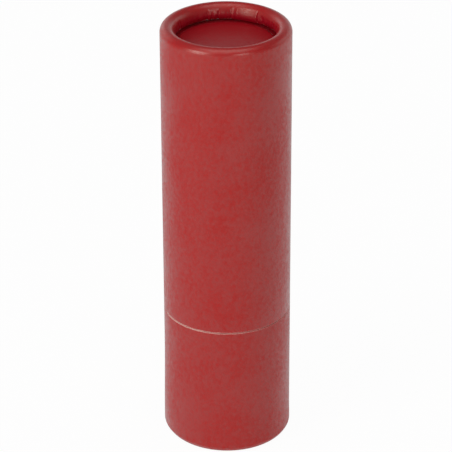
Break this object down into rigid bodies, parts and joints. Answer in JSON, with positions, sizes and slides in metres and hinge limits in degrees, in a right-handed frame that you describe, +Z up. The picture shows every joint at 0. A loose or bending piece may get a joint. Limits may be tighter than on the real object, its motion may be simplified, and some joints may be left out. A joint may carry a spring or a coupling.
{
  "type": "lip balm stick",
  "caption": "Twist-up lip balm stick in a plain paper tube with rolled ends: a pull-off cap over an inner neck that turns in the base and raises the balm on a screw.",
  "frame": {"origin": "centre of the foot ring, on the surface that the stick stands on", "axes": "+Z up along the tube's axis, from the base towards the cap's rim; X and Y are equivalent"},
  "size_m": [0.02, 0.02, 0.0702],
  "materials": {
    "red_paper": "matte",
    "grey_board": "matte",
    "white_paper": "matte",
    "white_plastic": "satin",
    "balm": "satin"
  },
  "bodies": {
    "base": {"base_wrap": "red_paper", "base_tube": "grey_board", "base_liner": "white_paper", "base_end_facing": "red_paper", "base_end_board": "grey_board", "screw_spindle": "white_plastic"},
    "neck": {"neck_wrap": "white_paper", "neck_tube": "grey_board", "barrel": "white_plastic"},
    "elevator": {"elevator": "white_plastic", "balm": "balm"},
    "cap": {"cap_wrap": "red_paper", "cap_tube": "grey_board", "cap_liner": "white_paper", "cap_end_facing": "red_paper", "cap_end_board": "grey_board"}
  },
  "joints": [
    {"name": "neck_turn", "type": "hinge", "parent": "base", "child": "neck", "pos_m": [0, 0, 0], "axis": [0, 0, -1], "range_deg": [0, 2880]},
    {"name": "elevator_rise", "type": "slide", "parent": "neck", "child": "elevator", "axis": [0, 0, 1], "range_m": [0, 0.04]},
    {"name": "cap_pull", "type": "slide", "parent": "elevator", "child": "cap", "axis": [0, 0, 1], "range_m": [0, 0.05]}
  ],
  "couplings": [
    {"joint": "elevator_rise", "follows": "neck_turn", "m_per_rad": 0.00079577}
  ]
}
